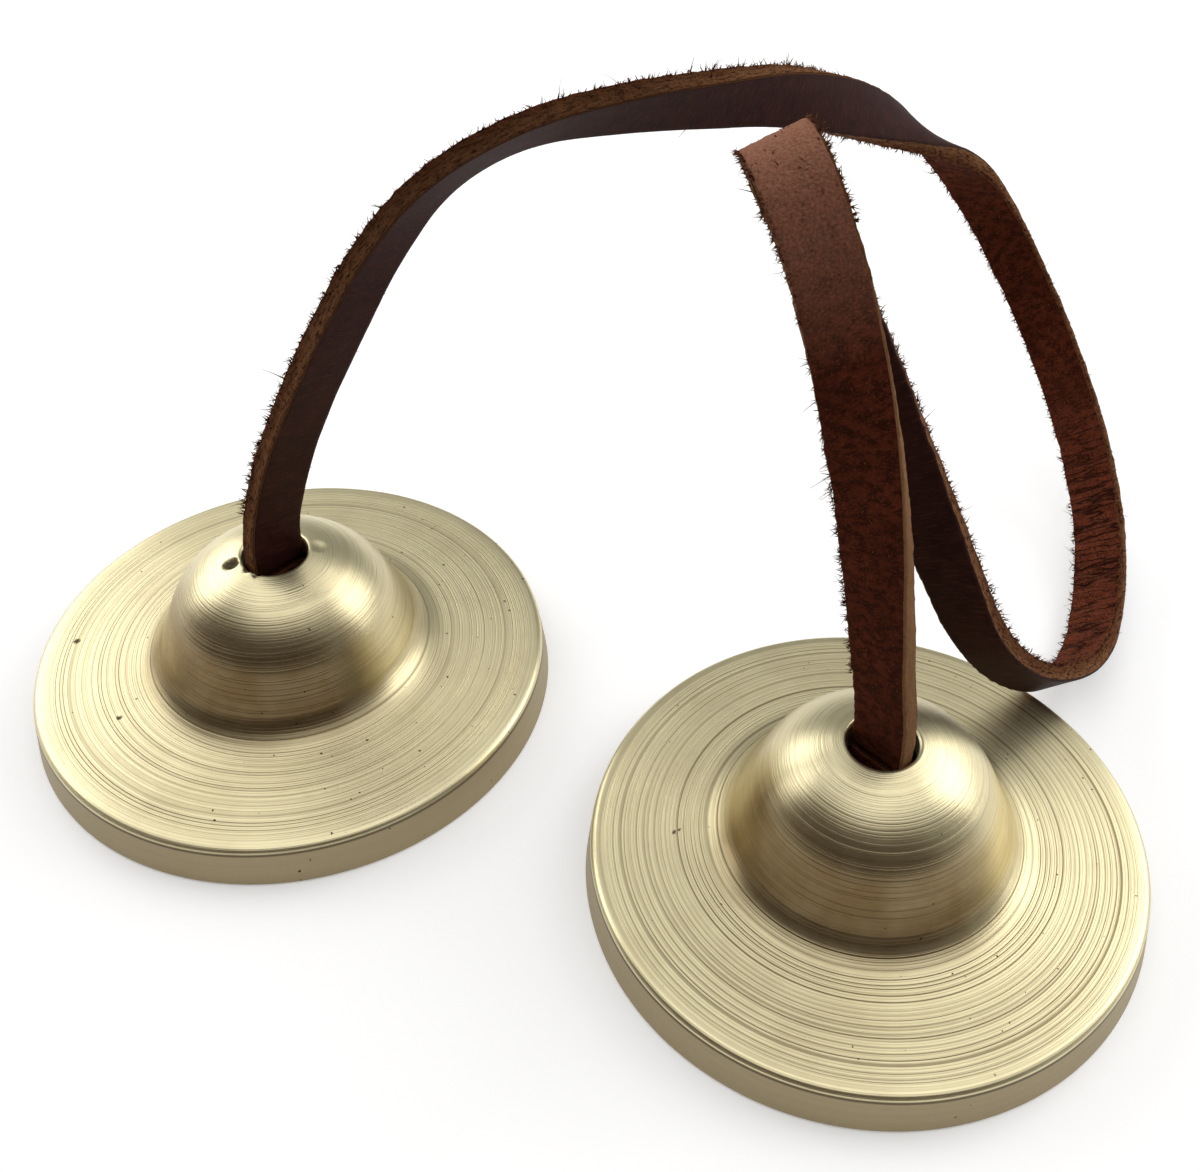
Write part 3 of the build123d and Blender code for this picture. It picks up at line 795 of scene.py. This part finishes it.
def lay_strap(name, stations, size, finishes, round_ends=True, narrow=None):
    """A strap as one closed skin: smooth grain, rough flesh and fibrous cut edges."""
    section = strap_section(size)
    count = len(section)
    rings = [(station[0], station, 1.0) for station in stations]
    if round_ends:
        first, last = stations[0], stations[-1]
        deep = size.thickness / 2
        for k in range(1, END_RINGS + 1):
            lean = math.radians(END_RING_DEGREES * k)
            rings.insert(0, (first[0] - first[1] * deep * math.sin(lean), first, math.cos(lean)))
            rings.append((last[0] + last[1] * deep * math.sin(lean), last, math.cos(lean)))
    corners, spots = [], []
    for i, (place, (middle, along, across, grain, s), thin) in enumerate(rings):
        share = narrow[i] if narrow else 1.0
        for (u, v), (out_u, out_v), side, p in section:
            push = leather_push(side, s, p) if thin == 1.0 else 0.0
            wander = EDGE_WANDER * noise.noise(Vector((s * 160, 7.0 if u > 0 else 31.0, 0.5)))
            sideways = (u + wander * u / size.width * 2) * share + out_u * push
            corners.append(place + across * sideways + grain * ((v + out_v * push) * thin))
            spots.append((s + (place - middle).dot(along), p))
    faces, kinds = [], []
    for i in range(len(rings) - 1):
        row, on = i * count, (i + 1) * count
        for k in range(count):
            side = (k + 1) % count
            faces.append((row + k, row + side, on + side, on + k))
            kinds.append(SIDE_FINISH[section[k][2]])
    faces.append(tuple(range(count - 1, -1, -1)))
    faces.append(tuple(range((len(rings) - 1) * count, len(rings) * count)))
    kinds += [SIDE_FINISH["low_edge"]] * 2
    return add_mesh(name, corners, faces, finishes, kinds, spots)


def any_way(chance):
    """A random vector, up to one long along each axis."""
    return Vector([chance.uniform(-1, 1) for _ in range(3)])


def grow_fuzz(name, stations, size, finish, seed):
    """Tufts of loose fibres, most of them along the corners between flesh and cut edges."""
    chance = random.Random(seed)
    half, deep = size.width / 2, size.thickness / 2
    corners, faces = [], []
    open_run = stations[COVERED_STATIONS:-COVERED_STATIONS]
    for _ in range(size.fuzz_count):
        place, along, across, grain, s = chance.choice(open_run)
        kind = chance.random()
        side = chance.choice((-1, 1))
        if s > SMOOTH_EDGE_FROM and side < 0 and kind < TUFTS_TO_EDGE:
            continue
        if kind < TUFTS_TO_CORNER:
            u, v = side * half, -deep * chance.uniform(0.7, 1.0)
            out = across * side - grain * chance.uniform(0.1, 1.3)
        elif kind < TUFTS_TO_EDGE:
            u, v = side * half, deep * chance.uniform(-0.7, 0.5)
            out = across * side + grain * chance.uniform(-0.9, 0.4)
        else:
            u, v = half * chance.uniform(-0.95, 0.95), -deep
            out = -grain + across * chance.uniform(-1.2, 1.2)
        lean = chance.uniform(-1.3, 1.3)
        for _ in range(chance.randint(1, 3)):
            aim = (out + along * (lean + chance.uniform(-0.6, 0.6))).normalized()
            bend = any_way(chance)
            length = size.fuzz_length * chance.uniform(0.4, 1.2) * chance.uniform(0.5, 1.0)
            if kind >= TUFTS_TO_EDGE:
                length *= 0.6
            elif chance.random() < 0.04:
                length *= chance.uniform(1.6, 2.8)
            thick = chance.uniform(*FIBRE_THICKNESS)
            root = place + across * u * ROOT_ACROSS + grain * v * ROOT_THROUGH
            root = root + along * chance.uniform(-TUFT_SPREAD, TUFT_SPREAD)
            add_fibre(corners, faces, root, aim, bend, length, thick)
    for reached, side, hairs, longest in LOOSE_HAIRS:
        place, along, across, grain, s = min(stations, key=lambda station: abs(station[4] - reached))
        for _ in range(hairs):
            root = place + across * side * half * ROOT_ACROSS - grain * deep * chance.uniform(0.0, 0.9)
            root += along * chance.uniform(-HAIR_SPREAD, HAIR_SPREAD)
            aim = across * side + along * chance.uniform(-0.8, 0.8) - grain * chance.uniform(0.0, 0.5)
            bend = any_way(chance)
            length = longest * chance.uniform(0.6, 1.0)
            add_fibre(corners, faces, root, aim.normalized(), bend, length, HAIR_THICKNESS)
    return add_mesh(name, corners, faces, [finish])


def add_fibre(corners, faces, root, out, bend, length, thick):
    """Adds one three-sided spike to the lists of corners and faces."""
    side = out.orthogonal().normalized()
    other = out.cross(side)
    base = len(corners)
    for k in range(4):
        share = k / 3
        middle = root + out * length * share + bend * length * 0.5 * share * share
        wide = thick * (1.0 - 0.75 * share)
        for turn in (0.0, 2.1, 4.2):
            corners.append(middle + side * wide * math.cos(turn) + other * wide * math.sin(turn))
    for k in range(3):
        row = base + 3 * k
        for t in range(3):
            on = (t + 1) % 3
            faces.append((row + t, row + on, row + 3 + on, row + 3 + t))
    faces.append((base + 2, base + 1, base))
    faces.append((base + 9, base + 10, base + 11))


def tie_knot(name, hole, across, size, finishes):
    """The knot in one end of the strap, under its hole."""
    wide = Vector(across).normalized()
    up = Vector((0.0, 0.0, 1.0))
    turn = Matrix((wide, up.cross(wide), up)).transposed()
    route = [(hole + turn @ Vector(point), (turn @ Vector(way)).normalized()) for point, way, _ in KNOT_ROUTE]
    shares = strap_spline([Vector((share, 0.0, 0.0)) for _, _, share in KNOT_ROUTE])
    narrow = [share.x for share in shares]
    return lay_strap(name, strap_stations(route), size, finishes, round_ends=False, narrow=narrow)


class TINGSHA_OT_strap(bpy.types.Operator):
    """Lay the leather strap from the left hole to the right one and tie its two knots"""
    bl_idname = "tingsha.strap"
    bl_label = "Lay strap"

    def execute(self, context):
        size = context.scene.tingsha_strap
        route = [(start + Vector(point), Vector(across).normalized()) for start, point, across in STRAP_ROUTE]
        stations = strap_stations(route)
        finishes = [smooth_grain(size), rough_flesh(size), cut_edge(size)]
        strap = lay_strap("leather_strap", stations, size, finishes)
        fuzz = grow_fuzz("strap_fuzz", stations, size, loose_fibre(size), FUZZ_SEED)
        left = tie_knot("left_overhand_knot", LEFT_HOLE, LEFT_ACROSS, size, finishes)
        right = tie_knot("right_overhand_knot", RIGHT_HOLE, RIGHT_ACROSS, size, finishes)
        for piece, body in ((strap, "strap"), (fuzz, "strap"), (left, "left_knot"), (right, "right_knot")):
            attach(piece, body)
        for piece, node in ((strap, "strap"), (left, "left_knot"), (right, "right_knot")):
            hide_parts(node)
        return {"FINISHED"}


class TINGSHA_OT_cymbals(bpy.types.Operator):
    """Turn the two cymbals"""
    bl_idname = "tingsha.cymbals"
    bl_label = "Turn cymbals"

    def execute(self, context):
        size = context.scene.tingsha_cymbals
        for side, hole, seed in (("left", LEFT_HOLE, LEFT_SEED), ("right", RIGHT_HOLE, RIGHT_SEED)):
            finish = turned_bell_metal(
                side + "_turned_metal", size, seed, STAINS_AND_PIT_SHADE[side], GROOVES_LEFT[side], WIDEST_SPECK[side])
            cymbal = turn_cymbal(side + "_turned_cymbal", hole.x, size, finish, seed, DENTS[side])
            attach(cymbal, side + "_cymbal")
            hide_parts(side + "_cymbal")
        return {"FINISHED"}


class TINGSHA_OT_stage(bpy.types.Operator):
    """Set the pale floor, the soft light and the camera"""
    bl_idname = "tingsha.stage"
    bl_label = "Set stage"

    def execute(self, context):
        size = context.scene.tingsha_stage
        self.floor(size)
        self.lamps(context.scene, size)
        self.room(context.scene, size)
        self.camera(context.scene)
        context.scene.view_settings.view_transform = "Standard"
        return {"FINISHED"}

    def floor(self, size):
        """A white floor as the camera and the metal see it, with the shade under the cymbals kept"""
        finish = Finish("pale_floor")
        paper = finish.node("BsdfDiffuse", {"Color": size.floor_colour}).outputs[0]
        rays = finish.node("LightPath").outputs
        seen = finish.math("MAXIMUM", rays["Is Camera Ray"], rays["Is Glossy Ray"])
        seen = finish.math("MAXIMUM", seen, rays["Is Transmission Ray"])
        spot = finish.node("TexCoord").outputs["Object"]
        for hole in (LEFT_HOLE, RIGHT_HOLE):
            away = finish.vector("DISTANCE", spot, (hole.x, 0.0, 0.0))["Value"]
            seen = finish.times(seen, finish.range(away, *CYMBAL_SHADE))
        lift = {"Color": (1.0, 1.0, 1.0), "Strength": finish.times(seen, FLOOR_LIFT)}
        lift = finish.node("Emission", lift).outputs[0]
        both = finish.node("AddShader", {0: paper, 1: lift}).outputs[0]
        finish.node("OutputMaterial", {"Surface": both})
        half = FLOOR_HALF
        corners = [(-half, -half, 0.0), (half, -half, 0.0), (half, half, 0.0), (-half, half, 0.0)]
        floor = add_mesh("floor", corners, [(0, 1, 2, 3)], [finish.material])

    def lamps(self, scene, size):
        for name, bearing, height, wide, tall in LAMPS:
            lamp = bpy.data.lights.new(name + "_lamp", "AREA")
            lamp.shape = "RECTANGLE"
            lamp.size, lamp.size_y = wide, tall
            lamp.energy = getattr(size, name + "_power")
            holder = bpy.data.objects.new(name + "_lamp", lamp)
            bearing, height = math.radians(bearing), math.radians(height)
            aim = Vector((
                math.sin(bearing) * math.cos(height), math.cos(bearing) * math.cos(height), math.sin(height)))
            holder.location = aim * LAMP_DISTANCE
            holder.rotation_euler = aim.to_track_quat("Z", "Y").to_euler()
            scene.collection.objects.link(holder)

    def room(self, scene, size):
        """Light from a pale ceiling and dimmer walls, with a dark front"""
        scene.world = bpy.data.worlds.new("soft_room")
        room = Nodes(scene.world)
        ways = room.split(room.node("TexCoord").outputs["Generated"])
        front = room.range(ways["Y"], *FRONT_SHADE, curve="SMOOTHSTEP")
        low = room.range(ways["Z"], *FRONT_SHADE_TOP, curve="SMOOTHSTEP")
        rise = room.range(ways["Z"], *CEILING_EDGE, curve="SMOOTHSTEP")
        sky = room.mix(rise, size.horizon_colour, size.ceiling_colour)
        all_round = room.mix(room.times(front, low), sky, size.front_colour)
        back = room.node("Background", {"Color": all_round, "Strength": 1.0})
        room.node("OutputWorld", {"Surface": back.outputs[0]})

    def camera(self, scene):
        lens = bpy.data.cameras.new("photo_view")
        for key, value in CAMERA_LENS.items():
            setattr(lens, key, value)
        camera = bpy.data.objects.new("photo_view", lens)
        right = Vector(CAMERA_RIGHT).normalized()
        ahead = Vector(CAMERA_AHEAD).normalized()
        above = right.cross(ahead)
        turn = Matrix((right, above, -ahead)).transposed().to_4x4()
        camera.matrix_world = Matrix.Translation(CAMERA_PLACE) @ turn
        scene.collection.objects.link(camera)
        scene.camera = camera


class TINGSHA_PT_panel(bpy.types.Panel):
    """Sizes, colours and steps of the tingsha"""
    bl_label = "Tingsha"
    bl_idname = "TINGSHA_PT_panel"
    bl_space_type = "VIEW_3D"
    bl_region_type = "UI"
    bl_category = "Tingsha"

    def draw(self, context):
        for step in STEPS:
            self.layout.operator(step.bl_idname)
        for name in SETTINGS:
            settings = getattr(context.scene, name)
            box = self.layout.box()
            for key in settings.__annotations__:
                box.prop(settings, key)


SETTINGS = {
    "tingsha_cymbals": CymbalSettings,
    "tingsha_strap": StrapSettings,
    "tingsha_stage": StageSettings,
}
STEPS = (TINGSHA_OT_stage, TINGSHA_OT_strap, TINGSHA_OT_cymbals)


def register():
    for name, group in SETTINGS.items():
        bpy.utils.register_class(group)
        setattr(bpy.types.Scene, name, PointerProperty(type=group))
    for step in STEPS:
        bpy.utils.register_class(step)
    bpy.utils.register_class(TINGSHA_PT_panel)


def unregister():
    bpy.utils.unregister_class(TINGSHA_PT_panel)
    for step in reversed(STEPS):
        bpy.utils.unregister_class(step)
    for name, group in SETTINGS.items():
        delattr(bpy.types.Scene, name)
        bpy.utils.unregister_class(group)


def main():
    register()
    bpy.ops.tingsha.stage()
    bpy.ops.tingsha.strap()
    bpy.ops.tingsha.cymbals()


if __name__ == "__main__":
    main()
